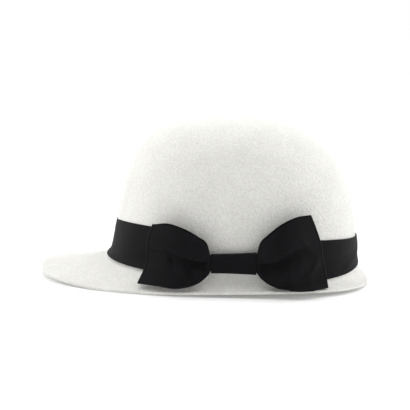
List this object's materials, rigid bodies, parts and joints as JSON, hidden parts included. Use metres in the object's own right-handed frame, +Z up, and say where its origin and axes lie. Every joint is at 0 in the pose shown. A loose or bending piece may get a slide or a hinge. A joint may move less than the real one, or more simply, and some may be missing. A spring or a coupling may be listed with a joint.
{
  "type": "jockey cap",
  "caption": "White wool-felt cap with a round crown, a short front peak and a narrow rim, trimmed with a black ribbon band and a flat bow on its side.",
  "frame": {"origin": "on the plane that the brim rests on, under the middle of the brim, half way between the peak's tip and the back edge", "axes": "+Z up through the crown, +Y from the peak towards the back, +X towards the bow on the wearer's left"},
  "size_m": [0.2009, 0.2706, 0.1313],
  "materials": {
    "felt": "matte",
    "ribbon": "satin"
  },
  "bodies": {
    "root": {"felt_body": "felt", "ribbon_band": "ribbon", "ribbon_lap": "ribbon", "bow_loop_front": "ribbon", "bow_loop_back": "ribbon", "bow_knot": "ribbon"}
  },
  "joints": []
}
